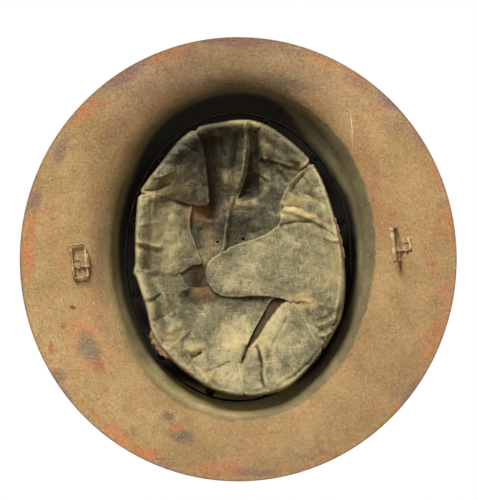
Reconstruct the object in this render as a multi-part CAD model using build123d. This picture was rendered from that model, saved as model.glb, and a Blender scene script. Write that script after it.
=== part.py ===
from build123d import *
import math
import os

# A steel trench helmet with a wide brim, crown up, resting on its brim.
# Lengths are millimetres and angles are degrees. +Z is up and the wearer faces -Y.
# The origin is the middle of the brim's rim, on the surface that the helmet rests on.

# Shell
brim_length = 303.0        # front to back, over the rim
brim_width = 298.0         # side to side, over the rim
shell_height = 112.0       # rim to the top of the crown
sheet = 0.95               # thickness of the pressed steel
bowl_length = 230.0        # outside, where the bowl meets the brim
bowl_width = 183.0
bowl_forward = 4.5         # how far the bowl stands forward of the brim's middle
mouth_height = 31.0        # where the brim ends and the bowl begins
rim_grind = 0.10           # how much of the raw edge is worn flat where it rests
brim_flare_share = 0.25    # share of the brim's rise that comes in the flare
brim_flare_power = 5.0
dome_side_power = 1.9
dome_top_power = 2.1
brim_steps = 90            # samples along the brim part of a meridian
dome_steps = 240           # samples along the dome part of a meridian
brim_overrun_share = 0.20  # how far the pressing runs past the trim line
bend_steps = 18            # samples each way over which the bend at the mouth is rounded
section_count = 30         # slices that the pressing is lofted through
crown_end_share = 0.8      # half width of the topmost slice, as a share of the rivet's radius
cut_overrun = 5.0
probe = 0.01               # step for the slopes of the brim's face

# Crown rivet, washer, pad and cap
rivet_radius = 2.5
rivet_head_radius = 7.5
rivet_head_height = 2.2
rivet_clinch_radius = 4.2
rivet_clinch_height = 1.4
rivet_hole_gap = 0.1
washer_radius = 11.0
washer_sheet = 1.0
pad_radius = 32.0
pad_thick = 7.0
cap_cloth = 1.5
cap_arm_width = 32.0
cap_drop = 0.3             # the cap hangs this much below the pad at the rivet
seat_gap = 0.3             # clearance between pieces that only touch

# Liner band
band_side_gap = 18.75      # from the outside of the bowl to the felt band
band_end_gap = 19.75
band_forward = 1.0
felt_thick = 3.0
felt_low = 25.0
felt_high = 50.0
cloth = 1.0                # oilcloth
cover_low = 22.6
cover_outer_high = 40.0
cover_inner_high = 38.0
cover_gap = 0.15
tear_angles = (112.0, -10.0)      # where the cover's outer leg is torn away
tear_spans = (14.0, 16.0)

# Rubber buffers between the band and the shell, and the strip of cloth round them
buffer_count = 12
buffer_radius = 3.2
buffer_bore = 1.4
buffer_length = 14.0
buffer_gap = 0.15
buffer_low = 40.6
strip_cloth = 1.0
strip_low = 42.0
strip_high = 52.0

# Oilcloth tongues, laid in layers on a shallow bowl
tongue_cloth = 1.2
tongue_gap = 0.4
tongue_rise = 34.0         # from the band to the middle of the bowl
tongue_low = 25.0
tongue_rows = 16           # points of the sheet's grid, front to back and side to side
tongue_columns = 16
tongue_reach_share = 1.04  # how far the grid reaches, as a share of the half size
eyelet_radius = 1.1
eyelet_shares = ((-0.212, -0.116), (0.033, -0.138))

# Chinstrap loops, their clips and split rivets
loop_length = 24.0
loop_width = 11.8
loop_wire = 1.2
loop_deep = 2.6
loop_corner = 1.8
clip_sheet = 0.8
clip_width = 9.0
clip_tail = 3.4            # from the rivet to the end of the clip
clip_eye = 1.75
clip_reach = 6.0           # from the rivet to the hinge
clip_corner = 1.6
clip_gap = 0.1
split_radius = 1.75
split_gap = 0.1
split_head_radius = 4.6
split_head_height = 1.5
split_seat_gap = 0.15
split_leg_reach = 5.2
split_leg_sheet = 0.9
split_leg_width = 3.2
split_tip_width = 1.6
split_slot = 0.9
loop_skew = 6.0            # how far the loops are turned on their rivets
right_rivet_edge = 37.0    # from the rim to the rivet on the wearer's right
left_rivet_edge = 32.5
right_rivet_back = 1.5     # how far back of the brim's middle the rivet is
left_rivet_back = -10.6
right_loop_turn = 177.0    # 0 lies inward on the brim, 90 stands off it, 180 lies outward
left_loop_turn = 94.0

# Folds of the tongues: two ends and a spread as shares of the half sizes, and a depth as a share
# of the rise, up into the helmet if positive
tongue_fold_shares = (
    ((0.08, -0.78), (0.10, -0.50), 0.22, 0.16),
    ((0.36, 0.40), (0.10, 0.75), 0.20, 0.10),
    ((0.45, -0.36), (0.75, -0.30), 0.20, -0.10),
)

# Outlines of the tongues, as shares of the band's half width and half length
tongue_outline_shares = {
    "tongue_left": (0, (
        (1.15, -0.80), (0.66, -0.71), (0.453, -0.536), (0.387, -0.348), (0.349, -0.232), (0.038, -0.105),
        (-0.264, 0.0), (-0.33, 0.10), (-0.264, 0.235), (-0.094, 0.28), (0.208, 0.27), (0.425, 0.295),
        (1.15, 0.29))),
    "tongue_front_right": (0, (
        (-0.50, -1.15), (-0.406, -0.94), (-0.35, -0.65), (-0.285, -0.39), (-0.45, -0.395), (-0.93, -0.45),
        (-1.15, -0.53))),
    "tongue_right": (1, (
        (-1.15, -0.49), (-0.93, -0.42), (-0.46, -0.37), (-0.49, -0.22), (-0.377, 0.03), (-0.35, 0.12),
        (-0.50, 0.29), (-1.15, 0.33))),
    "tongue_back_left": (1, (
        (0.33, 0.33), (0.12, 0.62), (0.05, 0.76), (0.07, 1.15), (1.15, 1.15), (1.15, 0.33))),
    "tongue_front_left": (1, (
        (0.22, -1.15), (0.23, -0.73), (0.30, -0.56), (0.56, -0.44), (0.80, -0.62), (1.15, -0.86),
        (1.15, -1.15))),
    "tongue_back_right": (2, (
        (-1.15, 0.36), (-0.55, 0.24), (-0.27, 0.16), (0.26, 0.24), (0.08, 0.63), (0.03, 0.76),
        (0.04, 1.15), (-1.15, 1.15))),
    "tongue_front": (3, (
        (-0.52, -1.15), (-0.40, -0.71), (-0.30, -0.377), (-0.33, -0.2), (-0.35, -0.02), (-0.19, 0.2),
        (0.2, 0.2), (0.28, -0.13), (0.26, -0.42), (0.20, -1.15))),
}

# The meridians of the pressing: half size against height, from the rim to the crown


def brim_height(share):
    """Height of the outer face at a share of the way in from the rim to the bowl."""
    rise = mouth_height - sheet + rim_grind
    flare = brim_flare_share * abs(share) ** brim_flare_power
    return sheet - rim_grind + rise * ((1 - brim_flare_share) * share + flare)


def outer_meridian(rim_half, mouth_half):
    points = []
    for step in range(brim_steps):
        share = -brim_overrun_share + (1 + brim_overrun_share) * step / brim_steps
        points.append((rim_half - share * (rim_half - mouth_half), brim_height(share)))
    dome = shell_height - mouth_height
    for step in range(dome_steps):
        share = math.cos(math.pi / 2 * step / dome_steps)
        points.append((
            mouth_half * share,
            mouth_height + dome * (1 - share ** dome_top_power) ** (1 / dome_side_power),
        ))
    return rounded(points)


def rounded(points):
    """The same meridian with its corners averaged away."""
    last = len(points) - 1
    smooth = []
    for index in range(last + 1):
        reach = min(index, last - index, bend_steps)
        near = points[index - reach:index + reach + 1]
        smooth.append(tuple(sum(values) / len(near) for values in zip(*near)))
    return smooth


def inset_meridian(points, inset):
    """The same meridian moved inward by inset along its normal."""
    moved = []
    last = len(points) - 1
    for index, (half, height) in enumerate(points):
        before = points[max(index - 1, 0)]
        after = points[min(index + 1, last)]
        run, rise = after[0] - before[0], after[1] - before[1]
        size = math.hypot(run, rise)
        moved.append((half - inset * rise / size, height + inset * run / size))
    return [point for index, point in enumerate(moved)
            if index == 0 or point[1] > moved[index - 1][1]]


def half_at(points, height):
    """Half size of a meridian at a height."""
    if height <= points[0][1]:
        return points[0][0]
    for (half, low), (next_half, high) in zip(points, points[1:]):
        if low <= height <= high:
            return half + (next_half - half) * (height - low) / (high - low)
    return points[-1][0]


def meridians(inset):
    """Side and long meridians of the pressing at an inset from its outer face."""
    side = outer_meridian(brim_width / 2, bowl_width / 2)
    long = outer_meridian(brim_length / 2, bowl_length / 2)
    return inset_meridian(side, inset), inset_meridian(long, inset)


def middle_at(height):
    """How far back the middle of the pressing's slice is at a height."""
    return -bowl_forward * min(max(height / mouth_height, 0), 1)


def section_at(curves, height):
    """An oval slice of the pressing at a height."""
    side, long = (half_at(points, height) for points in curves)
    return Plane((0, middle_at(height), height)) * Ellipse(side, long)


def skin(inset):
    """The solid under the pressing's face, inset along the normal."""
    curves = meridians(inset)
    return loft([section_at(curves, height) for height in section_heights(curves[0])])


def section_heights(side):
    """Heights at even steps along the side meridian, from outside the rim to inside the crown hole."""
    side = [point for point in side if point[0] > crown_end_share * rivet_radius]
    walked = [0.0]
    for (half, height), (next_half, next_height) in zip(side, side[1:]):
        walked.append(walked[-1] + math.hypot(next_half - half, next_height - height))
    heights = []
    for count in range(section_count + 1):
        reach = walked[-1] * count / section_count
        index = next(index for index, length in enumerate(walked) if length >= reach - probe)
        heights.append(side[index][1])
    return heights


def outside_by(curves, x, y, height):
    """Positive outside the pressing's face, negative inside it."""
    side, long = (half_at(points, height) for points in curves)
    return (x / side) ** 2 + ((y - middle_at(height)) / long) ** 2 - 1


def point_on_brim(curves, x, y):
    """Height and inward normal of the brim's face above a place on the floor."""
    low, high = 0.0, mouth_height
    while high - low > probe / 10:
        height = (low + high) / 2
        if outside_by(curves, x, y, height) > 0:
            high = height
        else:
            low = height
    slopes = [outside_by(curves, x + probe * i, y + probe * j, low + probe * k)
              - outside_by(curves, x - probe * i, y - probe * j, low - probe * k)
              for i, j, k in ((1, 0, 0), (0, 1, 0), (0, 0, 1))]
    return low, -Vector(*slopes).normalized()


def upright(x_half, y_half, low, high, middle_y=0.0):
    """An upright oval column."""
    return extrude(Plane((0, middle_y, low)) * Ellipse(x_half, y_half), high - low)


band_width = bowl_width - 2 * band_side_gap
band_length = bowl_length - 2 * band_end_gap
tongue_inset = felt_thick + cover_gap + cloth + seat_gap
tongue_half_x = band_width / 2 - tongue_inset
tongue_half_y = band_length / 2 - tongue_inset
crown_y = -bowl_forward
band_y = -band_forward
under_sheet = meridians(sheet)


def loop_frame(place):
    """The tangent plane of the brim's underside at a rivet: x inward, z away from the steel."""
    height, down = point_on_brim(under_sheet, *place)
    skewed = Vector(-math.copysign(1, place[0]), 0, 0).rotate(Axis.Z, -loop_skew)
    inward = (skewed - down * skewed.dot(down)).normalized()
    return Plane(origin=(place[0], place[1], height), x_dir=inward, z_dir=down)


frames = {
    "right": loop_frame((right_rivet_edge - brim_width / 2, right_rivet_back)),
    "left": loop_frame((brim_width / 2 - left_rivet_edge, left_rivet_back)),
}
turns = {"right": right_loop_turn, "left": left_loop_turn}
hinge_off = clip_gap + clip_sheet + clip_eye


def shell():
    steel = skin(0) - skin(sheet)
    trim = upright(brim_width / 2, brim_length / 2, 0, shell_height + cut_overrun)
    steel = steel & trim
    hole = rivet_radius + rivet_hole_gap
    steel -= Plane((0, crown_y, shell_height / 2)) * Cylinder(hole, shell_height + cut_overrun)
    for frame in frames.values():
        steel -= frame.location * Cylinder(split_radius + split_gap, 2 * mouth_height)
    return steel


def domed_head(radius, height):
    """A low round head, flat side down, standing on its local plane."""
    ball = (radius ** 2 + height ** 2) / (2 * height)
    return Pos(0, 0, height - ball) * Sphere(ball) & Pos(0, 0, height / 2) * Cylinder(radius, height)


pad_inset = sheet + seat_gap
cap_inset = pad_inset + pad_thick + cap_drop
cap_top = shell_height - cap_inset
cap_rise = cap_top - felt_high - seat_gap
washer_sag = cap_rise * (1 - math.sqrt(1 - (washer_radius / (band_width / 2 - cap_cloth)) ** 2))
washer_top = cap_top - cap_cloth - washer_sag - seat_gap / 2
clinch_top = washer_top - washer_sheet


def crown_rivet():
    head = Pos(0, crown_y, shell_height) * domed_head(rivet_head_radius, rivet_head_height)
    low = clinch_top - rivet_clinch_height
    length = shell_height - low
    shank = Pos(0, crown_y, low + length / 2) * Cylinder(rivet_radius, length)
    clinch = Plane(origin=(0, crown_y, clinch_top), z_dir=(0, 0, -1)).location
    return head + shank + clinch * domed_head(rivet_clinch_radius, rivet_clinch_height)


def crown_washer():
    disc = Cylinder(washer_radius, washer_sheet) - Cylinder(rivet_radius + rivet_hole_gap, 2 * washer_sheet)
    return Pos(0, crown_y, washer_top - washer_sheet / 2) * disc


def crown_pad():
    """A felt disc, domed to the crown above and flat below."""
    top = shell_height - pad_inset
    drop = top - half_drop_height(pad_radius)
    ball = (pad_radius ** 2 + drop ** 2) / (2 * drop)
    disc = Cylinder(pad_radius, pad_thick) - Cylinder(rivet_radius + rivet_hole_gap, 2 * pad_thick)
    return Pos(0, crown_y, top - ball) * Sphere(ball) & Pos(0, crown_y, top - pad_thick / 2) * disc


def half_drop_height(radius):
    """Height of the shell's inner clearance face at a distance from the crown, towards the side."""
    side = meridians(pad_inset)[0]
    return next(height for half, height in reversed(side) if half >= radius)


def cap_strip(half_size, plane):
    """One strip of the cap: half an oval hoop as wide as the arm, standing on the felt band."""
    hoop = Ellipse(half_size, cap_rise) - Ellipse(half_size - cap_cloth, cap_rise - cap_cloth)
    hoop -= Pos(0, -cap_rise) * Rectangle(2 * (half_size + cut_overrun), 2 * cap_rise)
    return extrude(plane * hoop, cap_arm_width / 2, both=True)


def liner_cap():
    """Two crossed strips of padded cloth that carry the band from the crown rivet."""
    cap = cap_strip(band_width / 2, Plane.XZ) + cap_strip(band_length / 2, Plane.YZ)
    cap = Pos(0, band_y, felt_high + seat_gap) * cap
    bore = Pos(0, crown_y, shell_height) * Cylinder(rivet_radius + rivet_hole_gap, 2 * shell_height)
    return cap - bore


def oval_ring(outer_x, outer_y, thick, low, high):
    """A band of the given thickness with upright walls."""
    outer = upright(outer_x, outer_y, low, high, band_y)
    return outer - upright(outer_x - thick, outer_y - thick, low - cut_overrun, high + cut_overrun, band_y)


def felt_band():
    return oval_ring(band_width / 2, band_length / 2, felt_thick, felt_low, felt_high)


def head_band():
    """Oilcloth folded under the felt band, with a short leg outside and one inside."""
    out = cover_gap + cloth
    x_half, y_half = band_width / 2 + out, band_length / 2 + out
    cover = oval_ring(x_half, y_half, felt_thick + 2 * out, cover_low, cover_outer_high)
    pocket = felt_thick + 2 * cover_gap
    cover -= oval_ring(x_half - cloth, y_half - cloth, pocket, felt_low - cover_gap, felt_high)
    inner = oval_ring(x_half - cloth - pocket, y_half - cloth - pocket, 2 * cloth,
                      cover_inner_high, felt_high)
    cover -= inner
    outside = oval_ring(x_half + cut_overrun, y_half + cut_overrun, cut_overrun + cloth + cover_gap,
                        cover_low - cut_overrun, felt_high)
    for angle, span in zip(tear_angles, tear_spans):
        wedge = Rot(0, 0, angle - span / 2) * extrude(
            make_face(Polyline((0, 0), (brim_width, 0),
                               (brim_width * math.cos(math.radians(span)),
                                brim_width * math.sin(math.radians(span))), close=True)),
            shell_height)
        cover -= outside & wedge
    return cover


def buffer_strip():
    """The strip of cloth that runs round the outside of the buffers."""
    out = buffer_gap + 2 * buffer_radius + buffer_gap + strip_cloth
    return oval_ring(band_width / 2 + out, band_length / 2 + out, strip_cloth, strip_low, strip_high)


def rubber_buffers():
    """Short rubber tubes standing against the outside of the felt band."""
    tubes = []
    reach = buffer_gap + buffer_radius
    x_half, y_half = band_width / 2 + reach, band_length / 2 + reach
    for index in range(buffer_count):
        angle = math.radians((index + 0.5) * 360 / buffer_count)
        middle_height = buffer_low + buffer_length / 2
        middle = (x_half * math.cos(angle), band_y + y_half * math.sin(angle), middle_height)
        tube = Cylinder(buffer_radius, buffer_length) - Cylinder(buffer_bore, 2 * buffer_length)
        tubes.append(Pos(*middle) * tube)
    return Compound(children=tubes)


def tongue_height(x, y):
    """Height of the crumpled bowl above the band at a share of its half width and half length."""
    far = x ** 2 + y ** 2
    height = tongue_rise * (1 - (far + far ** 2) / 2)
    for (x_1, y_1), (x_2, y_2), spread, deep in tongue_fold_shares:
        along = Vector(x_2 - x_1, y_2 - y_1)
        reach = min(max(Vector(x - x_1, y - y_1).dot(along) / along.dot(along), 0), 1)
        off = math.hypot(x - x_1 - reach * along.X, y - y_1 - reach * along.Y) / spread
        height += deep * tongue_rise * math.exp(-off ** 2)
    return height


def tongue_slab(low):
    """A sheet of cloth over the whole bowl."""
    grid = []
    for row in range(tongue_rows + 1):
        y = tongue_reach_share * (2 * row / tongue_rows - 1)
        line = []
        for column in range(tongue_columns + 1):
            x = tongue_reach_share * (2 * column / tongue_columns - 1)
            place = (tongue_half_x * x, band_y + tongue_half_y * y, low + tongue_height(x, y))
            line.append(Vector(*place))
        grid.append(line)
    sheet_face = Face.make_surface_from_array_of_points(grid)
    return Solid.extrude(sheet_face, Vector(0, 0, tongue_cloth))


def tongue(name):
    """One flap of oilcloth: its outline, cut out of its own layer of the bowl."""
    layer, shares = tongue_outline_shares[name]
    points = [(tongue_half_x * x, band_y + tongue_half_y * y) for x, y in shares]
    outline = extrude(make_face(Polyline(*points, close=True)), shell_height)
    outline = outline & upright(tongue_half_x, tongue_half_y, 0, shell_height, band_y)
    if name == "tongue_front":
        for x, y in eyelet_shares:
            place = (tongue_half_x * x, band_y + tongue_half_y * y, shell_height / 2)
            outline -= Pos(*place) * Cylinder(eyelet_radius, shell_height)
    return outline & tongue_slab(tongue_low + layer * (tongue_cloth + tongue_gap))


def strap_clip():
    """A strip folded round the hinge bar, with both leaves under the rivet. Local to the rivet."""
    fold = split_radius + clip_sheet
    low, top = clip_gap, clip_gap + 2 * clip_sheet
    inner_low = clip_gap + clip_sheet
    bar = Pos(clip_reach, hinge_off)
    outer = make_hull([Line((fold, low), (fold, top))] + (bar * Circle(clip_eye + clip_sheet)).edges())
    inner_floor = Line((fold + clip_sheet, inner_low), (clip_reach, inner_low))
    inner = make_hull([inner_floor] + (bar * Circle(clip_eye)).edges())
    leaves = make_face(Polyline((-clip_tail, low), (fold, low), (fold, top), (-clip_tail, top), close=True))
    clip = extrude(Plane.XZ * (leaves + outer - inner), clip_width / 2, both=True)
    tail = clip.edges().filter_by(Axis.Z).group_by(Axis.X)[0]
    clip = fillet(tail, clip_corner)
    return clip - Cylinder(split_radius + split_gap, 2 * hinge_off)


def strap_loop(turn):
    """The flat-wire loop, with its hinge bar in the clip's eye. Local to the rivet."""
    outer = RectangleRounded(loop_width, loop_length, loop_corner)
    inner = RectangleRounded(loop_width - 2 * loop_wire, loop_length - 2 * loop_wire, loop_corner - loop_wire)
    ring = extrude(outer - inner, loop_deep / 2, both=True)
    ring = chamfer(ring.edges().filter_by(Plane.XY), loop_wire / 4)
    ring = Pos((loop_width - loop_wire) / 2, 0, 0) * ring
    return Pos(clip_reach, 0, hinge_off) * Rot(0, -turn, 0) * ring


def split_rivet():
    """Head above the brim, shank through it, and two legs spread over the clip. Local to the rivet."""
    head_seat = -sheet - split_seat_gap
    flip = Plane(origin=(0, 0, head_seat), z_dir=(0, 0, -1)).location
    head = flip * domed_head(split_head_radius, split_head_height)
    leaf_top = clip_gap + 2 * clip_sheet
    leg_low = leaf_top + clip_gap
    shank_length = leg_low + split_leg_sheet - head_seat
    shank = Pos(0, 0, head_seat + shank_length / 2) * Cylinder(split_radius, shank_length)
    half, tip = split_leg_width / 2, split_tip_width / 2
    leg = Polyline((-half, 0), (half, 0), (tip, split_leg_reach), (-tip, split_leg_reach), close=True)
    legs = extrude(make_face(leg), split_leg_sheet)
    legs += Rot(0, 0, 180) * legs
    slot_deep = split_leg_sheet + clip_sheet
    slot = Pos(0, 0, leg_low + split_leg_sheet - slot_deep / 2) * Box(2 * split_head_radius, split_slot, slot_deep)
    return head + ((shank + Pos(0, 0, leg_low) * legs) - slot)


def main():
    parts = {
        "shell": shell(),
        "crown_rivet": crown_rivet(),
        "crown_washer": crown_washer(),
        "crown_pad": crown_pad(),
        "liner_cap": liner_cap(),
        "felt_band": felt_band(),
        "head_band": head_band(),
        "rubber_buffers": rubber_buffers(),
        "buffer_strip": buffer_strip(),
    }
    for name in tongue_outline_shares:
        parts[name] = tongue(name)
    for side, frame in frames.items():
        parts[f"strap_clip_{side}"] = frame.location * strap_clip()
        parts[f"strap_loop_{side}"] = frame.location * strap_loop(turns[side])
        parts[f"split_rivet_{side}"] = frame.location * split_rivet()
    os.makedirs("parts", exist_ok=True)
    for name, shape in parts.items():
        export_step(shape, f"parts/{name}.step")


main()
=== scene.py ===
import math

import bpy
import numpy as np
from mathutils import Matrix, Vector, geometry, noise

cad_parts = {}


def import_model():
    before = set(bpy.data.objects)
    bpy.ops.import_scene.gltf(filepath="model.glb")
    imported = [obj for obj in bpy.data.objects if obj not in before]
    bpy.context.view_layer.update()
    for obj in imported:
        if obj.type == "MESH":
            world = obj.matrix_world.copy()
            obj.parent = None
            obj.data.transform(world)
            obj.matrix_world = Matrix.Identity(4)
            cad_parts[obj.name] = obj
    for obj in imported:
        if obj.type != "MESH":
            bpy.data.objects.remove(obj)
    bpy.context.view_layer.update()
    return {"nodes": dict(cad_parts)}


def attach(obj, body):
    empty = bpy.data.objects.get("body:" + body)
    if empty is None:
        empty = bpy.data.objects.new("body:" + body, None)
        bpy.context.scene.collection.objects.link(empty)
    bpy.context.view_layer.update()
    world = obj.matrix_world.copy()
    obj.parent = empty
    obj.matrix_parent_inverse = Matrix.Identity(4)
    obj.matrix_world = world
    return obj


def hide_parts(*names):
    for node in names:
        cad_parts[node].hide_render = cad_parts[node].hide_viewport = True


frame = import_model()

# The camera looks up into the helmet from one metre below the rim.
EYE = 1.0
PIXEL = 0.0006817          # metres per pixel of the photograph at the rim
PHOTO_HEIGHT = 500
MIDDLE = (238.5, 250.0)
CAMERA_X = 0.0002
CAMERA_Y = -0.00627
MM = 0.001


def place(px, py, z):
    """The point at height z, in metres, that the photograph shows at a pixel."""
    s = PIXEL * (1 + z / EYE)
    return (px - MIDDLE[0]) * s + CAMERA_X, (py - MIDDLE[1]) * s + CAMERA_Y, z


def srgb(r, g, b):
    """A colour as the photograph shows it, 0 to 255, in the renderer's linear numbers."""
    def one(v):
        v /= 255
        return v / 12.92 if v <= 0.04045 else ((v + 0.055) / 1.055) ** 2.4
    return one(r), one(g), one(b), 1.0


# Node trees

class Nodes:
    """Short calls for building the node tree of a material or of the world."""

    def __init__(self, owner, output="OutputMaterial"):
        self.owner = owner
        owner.use_nodes = True
        self.tree = owner.node_tree
        self.tree.nodes.clear()
        self.out = self.add(output)
        self.where = None

    def feed(self, socket, value):
        """Link or set one input. A colour of three numbers is one of the photograph's."""
        if isinstance(value, bpy.types.NodeSocket):
            self.tree.links.new(value, socket)
        elif socket.type == "RGBA" and len(value) == 3:
            socket.default_value = srgb(*value)
        else:
            socket.default_value = value

    def add(self, kind, inputs=(), **values):
        """A node with its settings, and what its inputs get, by name or number."""
        node = self.tree.nodes.new("ShaderNode" + kind)
        for key, value in values.items():
            setattr(node, key, value)
        for key, value in dict(inputs).items():
            self.feed(node.inputs[key], value)
        return node

    def noise(self, scale, detail=4.0, rough=0.55, where=None, distort=0.0):
        return self.add("TexNoise", {
            "Vector": where or self.where, "Scale": scale, "Detail": detail, "Roughness": rough,
            "Distortion": distort}).outputs["Fac"]

    def voronoi(self, scale, where, feature="F1"):
        node = self.add("TexVoronoi", {"Vector": where, "Scale": scale}, feature=feature)
        return node.outputs["Distance"]

    def math(self, kind, a, b):
        return self.add("Math", {0: a, 1: b}, operation=kind).outputs[0]

    def times(self, a, b):
        return self.math("MULTIPLY", a, b)

    def plus(self, total, *terms):
        for term in terms:
            total = self.math("ADD", total, term)
        return total

    def about(self, value, amount, middle=0.5):
        """How far the value is from its middle, times an amount."""
        return self.times(self.math("SUBTRACT", value, middle), amount)

    def vector(self, kind, *terms):
        return self.add("VectorMath", enumerate(terms), operation=kind).outputs

    def scaled(self, x, y, z):
        return self.vector("MULTIPLY", self.where, (x, y, z))[0]

    def split(self, where):
        return self.add("SeparateXYZ", {0: where}).outputs

    def span(self, value, low, high, to_low=0.0, to_high=1.0, smooth=True):
        """From to_low to to_high, as the value goes from low to high."""
        return self.add("MapRange", enumerate((value, low, high, to_low, to_high)), clamp=True,
                        interpolation_type="SMOOTHSTEP" if smooth else "LINEAR").outputs[0]

    def mix(self, share, a, b, kind="MIX"):
        return self.add("Mix", {"Factor": share, 6: a, 7: b}, data_type="RGBA",
                        blend_type=kind).outputs[2]

    def layer(self, base, share, strength, colour):
        """The base under a colour, as far as share times strength."""
        return self.mix(self.times(share, strength), base, colour)

    def tint(self, base, share, *factors):
        """The base, its red, green and blue multiplied by the factors as far as share."""
        return self.mix(share, base, self.mix(1.0, base, (*factors, 1.0), "MULTIPLY"))

    def spot(self, px, py, wide, long, turn, edge, where):
        """One inside an oval of the brim, falling to nothing at its edge. Pixels and degrees."""
        x, y, _ = place(px, py, BRIM_Z)
        oval = self.add("Mapping", {
            "Vector": where, "Location": (x, y, 0), "Rotation": (0, 0, math.radians(turn)),
            "Scale": (wide * PIXEL, long * PIXEL, 1e6)}, vector_type="TEXTURE")
        return self.span(self.vector("LENGTH", oval.outputs[0])["Value"], 1.0, 1.0 - edge)

    def wobbled(self, scale, amount):
        """The object's coordinates, pushed about by noise."""
        push = self.add("TexNoise", {"Vector": self.where, "Scale": scale, "Detail": 3.0})
        less = self.vector("SUBTRACT", push.outputs["Color"], (0.5, 0.5, 0.5))[0]
        return self.vector("MULTIPLY_ADD", less, (amount, amount, amount), self.where)[0]

    def bump(self, height, strength, distance, under=None):
        inputs = {"Strength": strength, "Distance": distance, "Height": height}
        if under is not None:
            inputs["Normal"] = under
        return self.add("Bump", inputs).outputs[0]

    def finish(self, colour, rough, normal, metal=0.0, specular=0.5, sheen=0.0):
        shader = self.add("BsdfPrincipled", {
            "Base Color": colour, "Roughness": rough, "Normal": normal, "Metallic": metal,
            "Specular IOR Level": specular, "Sheen Weight": sheen})
        self.feed(self.out.inputs[0], shader.outputs[0])
        return self.owner


def surface(name):
    """A new material, seen in the object's own coordinates."""
    n = Nodes(bpy.data.materials.new(name))
    n.where = n.add("TexCoord").outputs["Object"]
    return n


# The shell's material

BRIM_Z = 0.012
RIM_HALF = (0.149, 0.1515)
PAINT_FROM = 0.0268        # the height at which the bowl's olive paint begins
PAINTED_SHADE_HEIGHTS = (0.046, 0.058)      # the heights between which the bowl's paint turns to painted shade
SCRATCH = (352, 127, 0.9, 26, -6, 0.9)

BRIM_MARKS = [
    # The middle in pixels, two half sizes, a turn in degrees, strength and softness in percent, the colour
    (98, 250, 12, 90, 0, 55, 90, 150, 118, 92), (104, 330, 10, 40, -28, 40, 90, 150, 118, 92),
    (112, 130, 14, 60, 34, 55, 90, 150, 112, 88), (160, 84, 50, 14, -28, 35, 90, 156, 120, 92),
    (290, 84, 44, 13, 12, 60, 95, 112, 104, 76), (236, 83, 64, 13, 0, 55, 95, 96, 88, 64),
    (378, 205, 10, 44, -6, 55, 70, 178, 122, 84), (372, 160, 10, 40, -24, 40, 80, 172, 122, 86),
    (88, 344, 22, 36, -30, 70, 60, 202, 140, 90), (74, 328, 12, 12, 0, 50, 70, 196, 128, 84),
    (89, 347, 14.5, 25, -30, 88, 75, 124, 115, 97), (98, 365, 8, 9, 0, 60, 70, 150, 96, 72),
    (65, 325, 6, 5, 0, 70, 70, 126, 104, 86), (52, 347, 4, 10, -12, 70, 60, 176, 96, 62),
    (61, 376, 15, 9, 25, 80, 75, 128, 104, 88), (69, 393, 6, 13, -30, 70, 75, 128, 104, 88),
    (73, 307, 2.6, 3.4, 0, 90, 50, 112, 76, 50), (36, 202, 9, 20, 10, 85, 70, 136, 108, 94),
    (30, 250, 10, 52, 0, 70, 80, 208, 136, 86), (24, 290, 5, 40, 0, 50, 80, 150, 112, 88),
    (168, 418, 8, 10, -40, 85, 75, 124, 106, 90), (182, 436, 19, 9, 12, 85, 75, 122, 106, 88),
    (176, 427, 10, 10, 0, 75, 70, 196, 122, 84), (134, 430, 16, 7, 10, 45, 70, 150, 122, 92),
    (118, 434, 24, 9, 34, 85, 70, 214, 134, 84), (150, 452, 28, 9, 22, 80, 70, 212, 130, 82),
    (222, 466, 42, 9, 2, 75, 70, 206, 130, 84), (256, 470, 34, 6, 0, 75, 70, 144, 112, 96),
    (330, 452, 36, 9, -22, 50, 70, 204, 134, 88), (386, 428, 34, 12, -42, 60, 70, 206, 134, 86),
    (408, 392, 26, 10, -52, 75, 70, 148, 112, 94), (430, 340, 12, 36, 20, 50, 70, 206, 138, 90),
    (446, 300, 8, 40, 8, 50, 70, 200, 132, 86), (449, 226, 6, 42, -6, 65, 70, 200, 130, 84),
    (436, 176, 9, 30, -20, 50, 70, 190, 132, 92), (418, 138, 10, 26, -34, 60, 70, 146, 112, 96),
    (388, 100, 26, 13, 42, 85, 70, 144, 114, 102), (392, 126, 18, 14, 30, 40, 70, 158, 118, 92),
    (358, 84, 20, 10, 34, 60, 70, 168, 112, 86), (322, 66, 26, 7, 22, 60, 60, 206, 150, 92),
    (290, 52, 26, 6, 10, 60, 70, 146, 116, 96), (240, 44, 62, 6, 0, 80, 70, 156, 114, 96),
    (172, 56, 38, 9, -16, 75, 70, 204, 136, 86), (126, 76, 36, 11, -34, 85, 70, 148, 116, 102),
    (88, 112, 28, 9, -48, 80, 70, 204, 134, 86), (62, 150, 10, 24, 26, 80, 70, 146, 112, 98),
    (150, 104, 34, 12, -36, 35, 80, 176, 130, 94), (52, 230, 12, 30, 0, 30, 80, 184, 130, 90),
    (404, 250, 10, 22, 0, 35, 70, 196, 136, 90), (430, 264, 7, 4, 0, 60, 60, 170, 96, 66),
    (60, 262, 10, 20, 0, 30, 70, 206, 160, 104), (392, 222, 14, 14, 0, 35, 80, 176, 120, 84),
    (410, 180, 26, 30, 0, 35, 90, 206, 164, 108), (420, 300, 20, 40, 0, 35, 90, 206, 166, 110),
]


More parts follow.
